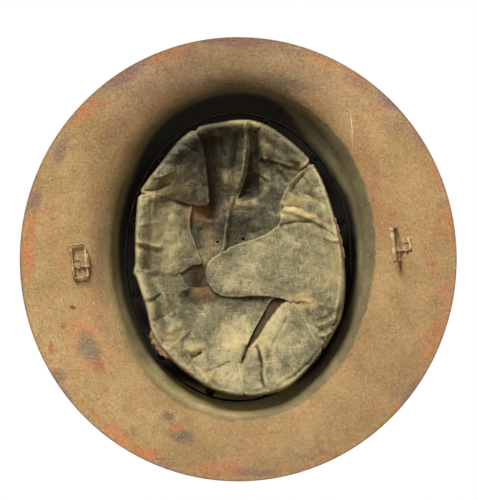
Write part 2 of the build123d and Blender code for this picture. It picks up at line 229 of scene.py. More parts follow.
def shell_material():
    n = surface("rusted_paint")
    x, y, z = n.split(n.where)
    up = n.split(n.add("NewGeometry").outputs["True Normal"])[2]
    outside = n.span(up, -0.02, 0.02)
    big = n.noise(9, 5, 0.6, distort=0.4)
    mid = n.noise(34, 7, 0.66)
    fine = n.noise(240, 5, 0.6)
    grain = n.noise(620, 4, 0.7)
    rusty = n.noise(64, 8, 0.72, distort=0.7)
    streak = n.noise(60, 6, 0.65, n.scaled(1.2, 7, 1.2))

    def speckled(base, dark_from, dark_share, dark, pale_share, pale):
        base = n.layer(base, n.span(grain, dark_from, 0.68), dark_share, dark)
        return n.layer(base, n.span(grain, 0.46, 0.34), pale_share, pale)

    # Tan brim with its marks, rustier near the edge
    tan = n.mix(n.span(mid, 0.36, 0.66), (172, 140, 90), (196, 162, 110))
    tan = n.layer(tan, n.span(big, 0.48, 0.66), 0.45, (190, 144, 94))
    wobble = n.wobbled(75, 0.008)
    patchy = n.span(rusty, 0.36, 0.58, 0.75, 1.15)
    for *oval, strength, soft, red, green, blue in BRIM_MARKS:
        mark = n.times(n.spot(*oval, soft / 100, wobble), patchy)
        tan = n.layer(tan, mark, strength / 100, (red, green, blue))
    far = n.vector("LENGTH", n.scaled(1 / RIM_HALF[0], 1 / RIM_HALF[1], 0))["Value"]
    near_edge = n.span(far, 0.86, 0.98)
    tan = n.layer(tan, n.span(rusty, 0.50, 0.62), n.span(near_edge, 0, 1, 0.28, 0.6), (188, 124, 80))
    tan = n.layer(tan, n.span(rusty, 0.47, 0.38), n.span(near_edge, 0, 1, 0.05, 0.5), (140, 112, 94))
    tan = n.layer(tan, n.span(streak, 0.52, 0.66), 0.22, (150, 112, 74))
    tan = n.layer(tan, n.span(fine, 0.52, 0.66), 0.25, (146, 108, 70))
    tan = speckled(tan, 0.53, 0.55, (118, 84, 54), 0.45, (226, 192, 142))
    # Painted light and shade on the brim: darker towards +y and +x, lighter at the -x, +y corner, and paler
    # and bluer towards -y
    tan = n.tint(tan, n.span(y, -0.15, 0.15, smooth=False), 0.54, 0.545, 0.54)
    painted_light_low_left = n.times(n.span(x, -0.02, -0.09), n.span(y, 0.0, 0.05))
    tan = n.tint(tan, painted_light_low_left, 1.18, 1.2, 1.18)
    tan = n.tint(tan, n.span(x, 0.02, 0.13), 0.87, 0.86, 0.86)
    tan = n.tint(tan, n.span(y, -0.08, -0.14), 1.06, 1.10, 1.32)
    rim = n.span(n.plus(far, n.times(mid, 0.02)), 0.998, 1.012)
    tan = n.layer(tan, rim, 0.7, (96, 74, 56))

    # Olive paint inside the bowl, with painted light low on the +y wall and on the -x wall, painted shade
    # near the mouth towards +y and +x, and painted bounce light towards +x and -y
    olive = n.mix(n.span(mid, 0.35, 0.7), (118, 108, 74), (150, 134, 94))
    olive = n.layer(olive, n.span(rusty, 0.52, 0.66), 0.5, (136, 108, 72))
    olive = speckled(olive, 0.52, 0.5, (84, 76, 50), 0.35, (176, 160, 116))
    foot = n.times(n.span(y, 0.06, 0.095), n.span(z, 0.026, 0.038, 0.1, 1.0))
    painted_light = n.math("MAXIMUM", n.times(foot, n.span(x, 0.07, 0.0)), n.span(x, -0.06, -0.095, 0.0, 0.75))
    olive = n.tint(olive, n.times(painted_light, 0.8), 2.3, 2.2, 2.0)
    painted_rim_shade = n.math("MAXIMUM", n.span(y, 0.05, 0.09), n.span(x, 0.05, 0.08))
    olive = n.tint(olive, n.times(painted_rim_shade, n.span(z, 0.040, 0.029)), 0.66, 0.66, 0.66)
    painted_bounce_light = n.times(n.span(x, 0.015, 0.045), n.span(y, -0.035, -0.075))
    olive = n.tint(olive, n.times(painted_bounce_light, n.span(z, 0.034, 0.046)), 1.5, 1.5, 1.5)

    # Where the brim's tan gives way to the olive paint, and that to painted shade deeper in the bowl,
    # lighter towards -y and darker towards +x
    mouth = n.plus(z, n.about(big, 0.008), n.about(rusty, 0.006))
    crisp = n.math("MINIMUM", n.span(x, -0.06, 0.085, 0.0075, 0.0012), n.span(y, 0.05, 0.095, 0.01, 0.0016))
    over = n.math("DIVIDE", n.math("SUBTRACT", mouth, PAINT_FROM), crisp)
    inner = n.mix(n.span(over, 0.0, 1.0), tan, olive)
    top = n.times(n.span(y, -0.05, -0.10), n.span(x, 0.055, 0.025))
    bottom = n.times(n.span(y, 0.07, 0.108), n.span(x, 0.06, 0.02))
    dark_from = n.plus(n.times(top, -0.012), n.times(bottom, 0.018), n.times(painted_bounce_light, 0.010),
                       n.span(x, 0.06, 0.08, 0.0, 0.003))
    painted_shade = n.mix(n.span(y, -0.05, -0.1), (48, 44, 34), (70, 66, 56))
    painted_shade = n.mix(n.span(x, 0.03, 0.08), painted_shade, (30, 27, 20))
    inner = n.mix(n.span(n.math("SUBTRACT", mouth, dark_from), *PAINTED_SHADE_HEIGHTS), inner, painted_shade)

    # Worn olive paint and rust on the outside
    paint = n.mix(n.span(mid, 0.3, 0.7), (94, 86, 60), (122, 108, 76))
    paint = n.layer(paint, n.span(streak, 0.48, 0.66), 0.35, (132, 108, 74))
    rust = n.mix(n.span(rusty, 0.3, 0.7), (104, 72, 46), (148, 104, 66))
    rust = n.layer(rust, n.span(fine, 0.5, 0.7), 0.3, (86, 60, 42))
    patches = n.plus(n.noise(13, 7, 0.62, distort=0.3), n.about(rusty, 0.9), n.about(grain, 0.35))
    outer = n.layer(paint, n.span(patches, 0.46, 0.66), 0.8, rust)
    outer = speckled(outer, 0.52, 0.5, (66, 50, 36), 0.3, (168, 142, 102))
    low = n.span(n.plus(z, n.times(n.plus(big, rusty), 0.02)), 0.044, 0.020)
    brim_top = n.mix(n.span(rusty, 0.42, 0.62), (160, 128, 84), (166, 112, 72))
    outer = n.layer(outer, low, 0.6, brim_top)

    colour = n.mix(outside, inner, outer)
    scratch = n.spot(*SCRATCH, n.wobbled(60, 0.002))
    colour = n.layer(colour, scratch, n.math("SUBTRACT", 0.9, n.times(outside, 0.9)), (232, 204, 160))
    pits = n.span(n.voronoi(210, n.wobbled(90, 0.006)), 0.10, 0.02)
    pits = n.times(pits, n.span(n.noise(22), 0.5, 0.62))
    colour = n.layer(colour, pits, 0.6, (86, 60, 40))
    normal = n.bump(n.plus(n.times(mid, 0.6), n.times(fine, 0.4)), 0.35, 0.0012)
    normal = n.bump(n.math("SUBTRACT", grain, n.times(pits, 0.8)), 0.6, 0.0005, normal)
    return n.finish(colour, n.span(mid, 0.3, 0.7, 0.78, 0.92), normal, specular=0.25)


# The other materials

def steel_material(name, dark, light, rust):
    n = surface(name)
    mid = n.noise(260, 5, 0.6)
    fine = n.noise(1500, 4, 0.6)
    patch = n.noise(120, 4, 0.6)
    colour = n.mix(n.span(mid, 0.35, 0.7), dark, light)
    colour = n.mix(n.span(patch, 0.46, 0.6), colour, rust)
    colour = n.layer(colour, n.span(fine, 0.5, 0.7), 0.4, dark)
    normal = n.bump(n.plus(mid, n.times(fine, 0.5)), 0.5, 0.0002)
    return n.finish(colour, n.span(patch, 0.4, 0.6, 0.5, 0.8), normal, metal=0.35, specular=0.4)


def oilcloth_material(name, deep, grey, tan):
    """Worn, dusty oilcloth, paler on its ridges (wear and painted highlight) and darker in its creases
    (painted shade). The mesh carries how dusty, dark, brown and yellow each place is; most of its dark is
    painted shade.
    """
    n = surface(name)

    def carried(kind):
        return n.add("Attribute", attribute_name=kind).outputs["Fac"]

    cloud = n.noise(22, 4, 0.55, distort=0.6)
    blotch = n.noise(70, 5, 0.6, distort=0.8)
    fleck = n.noise(520, 5, 0.65)
    speck = n.noise(1300, 4, 0.7)
    warp = n.noise(90, 5, 0.65, n.scaled(20, 2.2, 2.2))
    weft = n.noise(90, 5, 0.65, n.scaled(2.2, 20, 2.2))
    thread = n.math("MAXIMUM", warp, weft)
    # Pointiness paints the cloth: paler on its ridges, wear and painted highlight together, and darker in
    # its creases, painted shade
    point = n.add("NewGeometry").outputs["Pointiness"]
    ridge_highlight_and_wear = n.span(point, 0.505, 0.55)
    painted_crease_shade = n.span(point, 0.495, 0.44)
    worn = n.plus(n.times(cloud, 0.62), n.times(blotch, 0.38), n.about(thread, 0.55, 0.58),
                  n.about(fleck, 0.30), n.times(carried("dust"), 0.22), n.times(ridge_highlight_and_wear, 0.10))
    colour = n.mix(n.span(worn, 0.36, 0.58, smooth=False), deep, grey)
    colour = n.mix(n.span(worn, 0.50, 0.78, smooth=False), colour, tan)
    golden = n.span(n.noise(34, 8, 0.66, distort=0.5), 0.48, 0.66)
    colour = n.layer(colour, golden, n.span(worn, 0.4, 0.6, 0.15, 0.5), (176, 154, 104))
    weave = n.plus(n.times(thread, 0.6), n.times(speck, 0.5))
    colour = n.layer(colour, n.span(weave, 0.60, 0.72), 0.36, (198, 184, 142))
    colour = n.layer(colour, n.span(weave, 0.54, 0.44), 0.42, (62, 58, 44))
    yellow = n.times(carried("gold"), n.span(n.plus(blotch, n.times(fleck, 0.5)), 0.62, 0.85))
    colour = n.layer(colour, yellow, 0.6, (198, 174, 118))
    colour = n.layer(colour, carried("brown"), n.span(blotch, 0.3, 0.6, 0.6, 1.0), (138, 102, 62))
    # The carried dark: mostly painted shade, with some darker cloth
    colour = n.layer(colour, carried("dark"), n.span(thread, 0.45, 0.75, 1.0, 0.7), (40, 34, 23))
    colour = n.layer(colour, painted_crease_shade, 0.55, (44, 38, 28))
    normal = n.bump(n.plus(blotch, n.times(cloud, 0.6)), 0.35, 0.0012)
    normal = n.bump(n.plus(n.times(thread, 0.7), n.times(fleck, 0.6)), 0.75, 0.0006, normal)
    return n.finish(colour, n.span(worn, 0.4, 0.65, 0.62, 0.92), normal, specular=0.2)


def felt_material(name, dark, light):
    n = surface(name)
    mid = n.noise(160, 6, 0.7)
    hair = n.noise(900, 5, 0.75, distort=1.2)
    colour = n.mix(n.span(mid, 0.35, 0.68), dark, light)
    colour = n.layer(colour, n.span(hair, 0.5, 0.7), 0.5, (146, 116, 82))
    return n.finish(colour, 0.95, n.bump(hair, 0.8, 0.0006), specular=0.1, sheen=0.3)


def rubber_material(name, dark, light):
    n = surface(name)
    mid = n.noise(180, 5, 0.6)
    crack = n.voronoi(420, n.wobbled(200, 0.004), "DISTANCE_TO_EDGE")
    colour = n.mix(n.span(mid, 0.35, 0.7), dark, light)
    colour = n.mix(n.span(crack, 0.05, 0.01), colour, (20, 18, 16))
    return n.finish(colour, n.span(mid, 0.3, 0.7, 0.85, 1.0), n.bump(crack, 0.4, 0.0003), specular=0.05)


SHELL = shell_material()
STEEL = steel_material("tarnished_steel", (70, 56, 42), (150, 128, 98), (138, 96, 60))
PAINTED = steel_material("painted_steel", (136, 114, 76), (214, 196, 148), (166, 126, 82))
DUSTY = oilcloth_material("oilcloth_dusty", (80, 76, 54), (132, 123, 90), (178, 163, 120))
# A darker copy of the dusty oilcloth for the tongues towards -y: less dusty cloth, and painted shade where
# that side of the liner lies in shadow
GREY_AND_SHADED = oilcloth_material("oilcloth_grey_and_shaded", (54, 51, 38), (98, 92, 69), (152, 139, 102))
DARK = oilcloth_material("oilcloth_dark", (34, 30, 22), (62, 54, 40), (100, 84, 58))
# Dark cloth for the buffer ribbon, darkened further as painted shade so that it sinks into the shaded gap
# behind the liner
SHADE_DARK_CLOTH = rubber_material("shade_darkened_cloth", (26, 24, 18), (50, 45, 34))
RUBBER = rubber_material("perished_rubber", (10, 9, 8), (17, 15, 12))
BROWN_FELT = felt_material("felt_brown", (98, 76, 46), (154, 120, 76))
GREY_FELT = felt_material("felt_grey", (96, 88, 76), (140, 128, 108))


# Tools for the liner's sheets

# The liner's edge in the photograph, the x and y of one pixel after another
LINER_EDGE = [
    197, 128, 218, 123, 240, 120, 258, 122, 275, 130, 296, 146, 310, 160, 322, 180, 331, 205, 338, 232,
    344, 262, 345, 290, 341, 318, 333, 334, 322, 352, 300, 377, 286, 388, 272, 393, 245, 396, 215, 390,
    190, 375, 170, 358, 153, 335, 147, 310, 140, 289, 136.5, 278, 133.5, 272.5, 135, 264, 135, 243,
    136, 218, 139, 195, 148, 180, 160, 165, 178, 142,
]
EDGE_STEPS = 6             # points between two of these
BOWL_MIDDLE = (240.0, 258.0)
BOWL_HALF = (106.0, 138.0)
RIM_LOW = 22.2             # millimetres above the rest plane
RIM_OUT = 31.0
RIM_ROLL = 2.0             # pixels over which the cloth turns over the band
BAND_REACH = 16.0          # pixels from the edge at which the cloth has left the band
BOWL_RISE = 34.0
SPACING = 1.3              # pixels between the points of a cloth
ROW_SHARE = 0.87           # and between its rows, as a share of that
HOLE_SIDES = 14
LUMPS = ((0.8, 26, 0), (0.45, 11, 3), (0.25, 5, 5))      # millimetres, pixels, a step of the seed


def pairs(numbers):
    """Points from x and y, one after another."""
    return np.array(numbers, float).reshape(-1, 2)


def smooth_loop(points):
    """A closed curve through the points."""
    out = []
    for i in range(len(points)):
        p0, p1, p2, p3 = (points[(i + k) % len(points)] for k in (-1, 0, 1, 2))
        for j in range(EDGE_STEPS):
            t = j / EDGE_STEPS
            out.append(0.5 * (2 * p1 + (p2 - p0) * t + (2 * p0 - 5 * p1 + 4 * p2 - p3) * t * t
                              + (3 * p1 - p0 - 3 * p2 + p3) * t ** 3))
    return np.array(out)


def smooth_corners(pts):
    """The outline with each corner eased a little."""
    for _ in range(2):
        nxt = np.roll(pts, -1, axis=0)
        pts = np.stack([pts * 0.78 + nxt * 0.22, pts * 0.22 + nxt * 0.78], axis=1).reshape(-1, 2)
    return pts


def resampled(points, step):
    """The same closed outline with its points about one step apart."""
    ring = np.vstack([points, points[:1]])
    length = np.concatenate([[0], np.cumsum(np.linalg.norm(np.diff(ring, axis=0), axis=1))])
    at = np.linspace(0, length[-1], int(round(length[-1] / step)), endpoint=False)
    return np.stack([np.interp(at, length, ring[:, k]) for k in (0, 1)], axis=1)


def distance_to(line, pts, closed=False):
    """Unsigned and signed distance in pixels of each point from a line, and how far along it is."""
    if closed:
        line = np.vstack([line, line[:1]])
    best = np.full(len(pts), 1e9)
    side = np.ones(len(pts))
    along = np.zeros(len(pts))
    lengths = np.linalg.norm(np.diff(line, axis=0), axis=1)
    walked = 0.0
    for a, b, size in zip(line[:-1], line[1:], lengths):
        if size == 0:
            continue
        d = (b - a) / size
        rel = pts - a
        t = np.clip(rel @ d, 0, size)
        dist = np.linalg.norm(rel - np.outer(t, d), axis=1)
        near = dist < best
        best[near] = dist[near]
        side[near] = np.sign(d[0] * rel[near, 1] - d[1] * rel[near, 0])
        along[near] = (walked + t[near]) / lengths.sum()
        walked += size
    return best, best * side, along


def inside(poly, pts):
    """Which points lie inside a closed outline."""
    hit = np.zeros(len(pts), bool)
    x, y = pts[:, 0], pts[:, 1]
    for (x1, y1), (x2, y2) in zip(poly, np.roll(poly, -1, axis=0)):
        if y1 != y2:
            hit ^= ((y1 > y) != (y2 > y)) & (x < (x2 - x1) * (y - y1) / (y2 - y1) + x1)
    return hit


def smoothstep(v, low, high):
    t = np.clip((v - low) / (high - low), 0, 1)
    return t * t * (3 - 2 * t)


def crumple(pts, scale, seed):
    """Smooth noise from -1 to 1 at each point, its lumps about scale pixels across."""
    return np.array([noise.noise(Vector((p[0] / scale, p[1] / scale, seed))) for p in pts])


LINER_RING = smooth_loop(pairs(LINER_EDGE))


def liner_run(x1, y1, x2, y2):
    """The liner's own edge from one pixel round to another, clockwise in the photograph."""
    i, j = (int(np.argmin(np.hypot(*(LINER_RING - at).T))) for at in ((x1, y1), (x2, y2)))
    if j <= i:
        j += len(LINER_RING)
    return LINER_RING[np.arange(i, j + 1, 2) % len(LINER_RING)]


# For each stepped kind of fold: which side of its line rises, and over which pixels
STEPS = {"step": (1, -0.8, 0.8), "back_step": (-1, -0.8, 0.8), "back_ramp": (-1, -4.5, 5.5)}


def fold(pts, kind, ends, wide, deep, *line):
    """Height of one fold, in millimetres; positive goes up into the helmet."""
    dist, signed, along = distance_to(pairs(line), pts)
    if kind == "round":
        shape = np.exp(-(dist / wide) ** 2)
    elif kind == "sharp":
        shape = 1.5 * np.exp(-dist / wide)
    else:
        way, low, high = STEPS[kind]
        signed = way * signed
        shape = smoothstep(signed, low, high) * np.exp(-(np.maximum(signed, 0) / wide) ** 2)
    if ends:
        shape = shape * np.sqrt(np.clip(np.minimum(along, 1 - along) / (ends / 100), 0, 1))
    return deep * shape


def linked(name, data):
    """A new object in the scene."""
    obj = bpy.data.objects.new(name, data)
    bpy.context.scene.collection.objects.link(obj)
    return obj


def new_object(name, points, faces, material, slot_name, nodes, thick=None):
    """A smooth piece on the helmet; a thickness in millimetres makes it a sheet of cloth."""
    mesh = bpy.data.meshes.new(name)
    mesh.from_pydata(points, [], faces)
    mesh.update()
    for face in mesh.polygons:
        face.use_smooth = True
    mesh.materials.append(material)
    obj = linked(name, mesh)
    if thick:
        solid = obj.modifiers.new("thick", "SOLIDIFY")
        solid.thickness = thick * MM
        solid.offset = 0
    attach(obj, "helmet")
    if nodes:
        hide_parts(*nodes)
    return obj


# Folds that every tongue shares, by kind: how far each fades at its ends, in percent of its length, its
# spread in pixels, its depth in millimetres, and the x and y of its line's pixels
SHARED_FOLDS = {
    "sharp": [
        (10, 1.7, -1.6, 312, 160, 324, 184, 333, 207, 339, 233, 341, 262, 340, 290, 335, 318, 326, 338,
         311, 360),
        (30, 2, -0.9, 136, 242, 152, 246, 168, 248), (25, 1.6, 2.6, 143, 191, 156, 190, 171, 183),
        (30, 2.4, -1.6, 150, 178, 162, 176, 176, 170), (40, 2, -0.8, 137, 225, 148, 224, 160, 222),
        (40, 2.2, -1, 140, 300, 152, 297, 166, 290), (40, 2.2, 1, 150, 322, 162, 318, 176, 308),
        (40, 2.4, -1.2, 165, 350, 178, 342, 190, 330), (40, 2.2, 1.1, 184, 370, 192, 360, 202, 352),
        (40, 2.2, -1.2, 206, 384, 212, 376, 214, 366), (40, 2, 1.1, 226, 390, 230, 380, 236, 372),
        (40, 2.2, -1, 322, 352, 312, 344, 300, 340), (40, 2.2, 1, 332, 334, 320, 330, 308, 322),
        (40, 2, -0.8, 338, 308, 326, 306, 316, 302), (40, 2, -1, 300, 376, 292, 366, 286, 360),
    ],
    "round": [
        (10, 2.5, 1, 306, 166, 318, 188, 327, 210, 333, 235, 335, 262, 334, 290, 329, 316, 320, 334, 306,
         354),
        (20, 3, 0.8, 134, 272, 160, 277, 182, 277), (30, 5, -1.8, 146, 200, 160, 197, 175, 192),
    ],
}

# What the oilcloth carries, dust, stains and yellowing but also painted shade and a few painted highlights:
# the middle in pixels, two half sizes, a turn in degrees, and how much in percent
MARKS = {
    "dust": [
        (162, 232, 24, 38, 0, 90), (150, 190, 12, 14, 0, 30), (146, 210, 8, 30, 0, 45),
        (143, 280, 8, 26, 0, 55), (150, 300, 10, 20, 15, 35), (236, 340, 22, 22, 0, 55),
        (274, 322, 14, 26, 30, 75), (262, 345, 12, 14, 0, 35), (300, 300, 18, 12, 0, 35),
        (292, 204, 20, 10, -30, 35), (322, 200, 12, 14, 0, 35), (232, 280, 18, 12, 0, 35),
        # (290, 216) follows a lit fold: dust and painted highlight
        (222, 378, 26, 12, 10, 40), (290, 216, 22, 6, 8, 55), (300, 170, 12, 6, 20, 45),
        (170, 330, 12, 18, 0, 25), (270, 380, 24, 8, 0, 30), (280, 268, 60, 42, 0, 32),
        # (245, 150) is a thin pale streak down the lit front edge: a painted highlight
        (245, 150, 3, 30, 4, 35),
    ],
    # Mostly painted shade: the pocket beside the front ridge, the valleys, the slit's creases, the top of
    # the liner and the lines under overlapping edges; a few are darker cloth
    "dark": [
        (210, 165, 13, 48, -4, 85), (200, 150, 9, 26, -8, 50), (253, 172, 12, 32, 10, 90),
        (262, 160, 12, 26, 14, 45), (233, 146, 12, 24, 0, 30), (186, 192, 20, 12, 10, 25),
        (272, 132, 18, 10, 30, 35), (308, 150, 16, 8, 45, 25), (330, 190, 6, 26, -20, 35),
        (340, 250, 4, 40, 0, 25), (216, 214, 10, 20, 0, 45), (194, 236, 8, 24, -10, 30),
        (240, 218, 26, 16, -20, 25), (258, 302, 26, 9, 0, 55), (238, 296, 16, 6, 0, 30),
        (212, 296, 18, 9, 0, 35), (262, 312, 8, 14, 35, 35), (200, 284, 12, 5, 0, 40),
        (196, 276, 14, 13, 0, 96), (300, 232, 26, 5, 12, 20), (320, 268, 12, 26, 0, 18),
        (250, 362, 6, 20, 10, 15), (320, 352, 12, 16, -40, 30), (244.5, 357, 2, 8.5, 24, 100),
        (260, 357, 2.4, 11, -14, 100), (262.5, 379, 1.6, 10, -14, 80), (250, 187, 13, 14, 0, 100),
        (255, 163, 8, 22, 6, 80), (186, 360, 12, 8, 30, 10), (282, 372, 20, 9, -20, 12),
        (170, 152, 14, 8, -45, 25), (192, 297, 9, 9, 0, 45), (199, 286.5, 15, 1.4, 0, 100),
        (252, 191, 13, 9, 6, 100),
    ],
    "brown": [
        (202, 296, 12, 8, 0, 50), (212, 240, 9, 30, 8, 20), (200, 213, 12, 11, 0, 100),
        (186, 214, 8, 16, 0, 25), (212, 170, 10, 44, 0, 20), (300, 300, 22, 8, 0, 30),
        (150, 186, 14, 10, 0, 25), (322, 222, 14, 6, 20, 35), (262, 355, 6, 22, 0, 20),
        # (196, 274) browns the painted shade of the pocket at (196, 276)
        (196, 274, 13, 11, 0, 90), (204, 293, 13, 7, 0, 55),
    ],
    "gold": [
        (150, 282, 20, 8, 10, 40), (232, 342, 10, 9, 0, 100), (168, 338, 14, 9, 20, 80),
        (190, 350, 16, 7, 20, 80), (205, 373, 14, 8, 30, 60), (304, 302, 18, 9, 0, 80),
        # (300, 216) follows the same lit fold: yellowed cloth and painted highlight
        (292, 204, 12, 8, 0, 100), (300, 216, 22, 5, 6, 90), (286, 166, 14, 6, 20, 70),
        (262, 340, 9, 16, 35, 40), (240, 330, 16, 14, 0, 50), (152, 205, 6, 26, 0, 50),
        # (246, 150) yellows the same lit front edge: a painted highlight
        (290, 345, 14, 10, 0, 40), (246, 150, 3, 30, 4, 60), (292, 132, 10, 8, 30, 40),
        (212, 134, 16, 5, -6, 50),
    ],
}

# The open slit between the two tongues at the back, and the painted shade, dark and brown, given to its
# depth
SLIT = [
    268, 292, 292, 298, 286, 302, 281, 305, 268, 322, 256.5, 340, 248.5, 349, 232, 350, 240, 325,
]
SLIT_PAINTED_SHADE = {"dark": 0.9, "brown": 0.8}


def carry_marks(mesh, pts, with_slit_shade):
    """Write how dusty, dark, brown and yellow the sheet is at each point, the dark mostly painted shade, and
    the slit's painted shade where asked.
    """
    ragged = 0.22 * crumple(pts, 9, 21.0) + 0.16 * crumple(pts, 3.5, 23.0)
    within = inside(pairs(SLIT), pts)
    for kind, marks in MARKS.items():
        amounts = np.zeros(len(pts))
        for px, py, wide, long, turn, amount in marks:
            c, s = math.cos(math.radians(turn)), math.sin(math.radians(turn))
            x, y = pts[:, 0] - px, pts[:, 1] - py
            far = np.hypot((x * c + y * s) / wide, (y * c - x * s) / long)
            near = smoothstep(1.25 - far + ragged, 0.0, 0.9)
            amounts = 1 - (1 - amounts) * (1 - amount / 100 * near)
        if with_slit_shade and kind in SLIT_PAINTED_SHADE:
            amounts = np.where(within, SLIT_PAINTED_SHADE[kind], amounts)
        layer = mesh.attributes.new(kind, "FLOAT", "POINT")
        layer.data.foreach_set("value", amounts.astype(np.float32))


def cloth(name, node, material, lift, seed, cut, run, inner, thick=0.8, rough_edge=0.5, hole=None, **folds):
    """A sheet over an outline in the photograph, lift millimetres above the bowl, with its folds by kind."""
    edge = resampled(smooth_corners(np.vstack([liner_run(*run), pairs(inner)])), SPACING)
    away = edge - edge.mean(axis=0)
    away /= np.linalg.norm(away, axis=1)[:, None]
    off_liner = distance_to(LINER_RING, edge, True)[0]
    edge = edge + away * (crumple(edge, 3.0, seed + 7.3) * rough_edge * (off_liner > 3))[:, None]
    xs = np.arange(edge[:, 0].min(), edge[:, 0].max(), SPACING)
    ys = np.arange(edge[:, 1].min(), edge[:, 1].max(), SPACING * ROW_SHARE)
    grid = np.array([(x + (SPACING / 2 if j % 2 else 0), y) for j, y in enumerate(ys) for x in xs])
    grid = grid[inside(edge, grid)]
    grid = grid[distance_to(edge, grid, True)[0] > SPACING * 0.55]
    loops = [edge]
    if hole:
        *centre, radius = hole
        turn = np.linspace(0, 2 * math.pi, HOLE_SIDES, endpoint=False)
        loops.append(np.stack([np.cos(turn), np.sin(turn)], axis=1) * radius + centre)
        grid = grid[np.hypot(*(grid - centre).T) > radius * 1.25]
    rims, first = [], 0
    for loop in loops:
        rims += [(first + i, first + (i + 1) % len(loop)) for i in range(len(loop))]
        first += len(loop)
    verts = [Vector(v) for v in np.vstack(loops + [grid])]
    flat, _, faces, *_ = geometry.delaunay_2d_cdt(verts, rims, [], 1, 1e-5)
    pts = np.array([(v.x, v.y) for v in flat])
    if hole:
        faces = [f for f in faces if math.dist(pts[list(f)].mean(axis=0), centre) >= radius]

    to_rim, _, round_rim = distance_to(LINER_RING, pts, True)
    far = (((pts - BOWL_MIDDLE) / BOWL_HALF) ** 2).sum(axis=1)
    height = RIM_LOW + BOWL_RISE * (1 - np.minimum(far, 1.0)) * smoothstep(to_rim, 2.0, BAND_REACH)
    for kinds in (folds, SHARED_FOLDS):
        for kind, entries in kinds.items():
            for entry in entries:
                height = height + fold(pts, kind, *entry)
    lumps = sum(deep * crumple(pts, wide, seed + k) for deep, wide, k in LUMPS)
    creased = np.abs(crumple(pts, 21, seed + 1.5)) + 0.45 * np.abs(crumple(pts, 9, seed + 4.5))
    height = height + smoothstep(to_rim, -2.0, 6.0) * (lumps - 2.2 * (creased - 0.3))
    height = height + 0.14 * crumple(pts, 2.4, seed + 9)
    gathers = np.array([noise.noise(Vector((r * 46, d * 0.03, 3.3))) for r, d in zip(round_rim, to_rim)])
    near_band = smoothstep(to_rim, -1.0, 2.0) * smoothstep(to_rim, 30.0, 6.0)
    height = height + 2.2 * near_band * (0.25 - np.abs(gathers))
    height = height + lift * smoothstep(to_rim, 2.0, 14.0)
    roll = np.clip(1 - to_rim / RIM_ROLL, 0, 1)
    height = height + (RIM_OUT - RIM_LOW) * (1 - np.sqrt(1 - roll ** 2))
    points = [place(px, py, h * MM) for (px, py), h in zip(pts, height)]
    obj = new_object(name, points, faces, material, "oilcloth", (node,), thick)
    carry_marks(obj.data, pts, node == "tongue_back_left")


# The tongues. run is the part of the liner's edge that each follows, inner the rest of its outline.

FRONT_EDGE = [
    244, 118, 244.5, 138, 244, 150, 242.5, 165, 240.5, 178, 237, 187.5, 231.5, 195, 228, 206, 225.5, 220,
    223.5, 234, 223, 246, 219, 254, 213, 270, 214, 295,
]

cloth(
    "tongue_wearers_left", "tongue_left", DUSTY, lift=-3.2, seed=2, thick=0.7, rough_edge=1,
    cut=(0.098, 0.13, 0.0075), run=(312, 163, 322, 355), inner=(
        318, 350, 306, 325, 297, 306, 290, 302, 283.5, 299, 273, 297, 265, 296, 253, 296, 232, 297,
        220, 296, 212, 290, 207, 282, 205, 273, 208, 261, 220, 253, 236.5, 244, 253, 240, 265, 235,
        277, 227, 279.5, 223, 281, 219, 279.5, 212, 285, 208, 284, 205.5, 280, 203, 283, 195, 288, 185,
        300, 172,
    ), round=[
        (15, 3, -2, 280, 209, 296, 212, 312, 217, 326, 228, 343, 241),
        (20, 3, -1.4, 288, 300, 300, 296, 314, 292), (30, 7, 1, 316, 285, 318, 262, 317, 244),
        (0, 15, 2.3, 286, 299, 298, 308, 306, 325, 320, 356),
    ], sharp=[
        (15, 2, 1.8, 278, 226, 296, 222, 313, 222, 330, 232, 341, 241),
        (10, 2.2, -2, 311, 158, 300, 170, 288, 184), (20, 2, -1.2, 283, 214, 280, 222, 277, 230),
        (20, 1.8, 2, 290, 303, 300, 311, 310, 314), (15, 1.3, 1.6, 316, 321, 325, 318, 335, 311),
        (15, 1.3, -1.6, 317, 326, 326, 323, 336, 317), (15, 1.3, 1.6, 318, 331, 326, 329, 335, 324),
        (15, 1.3, -1.5, 318, 336, 326, 335, 333, 331), (15, 1.4, 1.8, 321, 338, 326, 343, 331, 346),
        (20, 2, -1.2, 296, 214, 308, 218, 322, 226), (20, 3, 1, 300, 192, 312, 196, 326, 206),
        (20, 1.5, -1.4, 322, 236, 332, 240, 341, 241), (20, 1.8, -1.6, 290, 303, 302, 300, 312, 302),
        (20, 1.6, 1.8, 306, 172, 297, 183, 290, 194), (30, 2, 1.6, 284, 207, 294, 206, 304, 209),
        (20, 1.4, 2.4, 292, 301, 295, 304, 300, 303),
    ])

cloth(
    "tongue_front_left_flap", "tongue_front_left", GREY_AND_SHADED, lift=-1.4, seed=4,
    cut=(0.0365, 0.0655, 0.0021), run=(258, 122, 311, 159), inner=(
        303, 176, 290, 190, 281, 202, 276, 214, 262, 214, 259, 190, 260, 160, 258, 140,
    ), step=[
        (0, 300, 7.5, 252, 156, 266, 160, 282, 164, 300, 171, 306, 166),
    ], sharp=[
        (0, 2, -1.4, 252, 155, 266, 159, 282, 163, 300, 170, 306, 165),
        (10, 2, 2.6, 266, 159, 284, 166, 303, 170), (10, 2.2, -2, 311, 158, 300, 170, 288, 184),
    ], round=[
        (20, 5, 1, 276, 140, 288, 150, 298, 158), (20, 5, -1.2, 262, 150, 282, 157, 303, 160),
        (10, 2.4, 4, 258, 124, 258, 146, 262, 168),
    ])

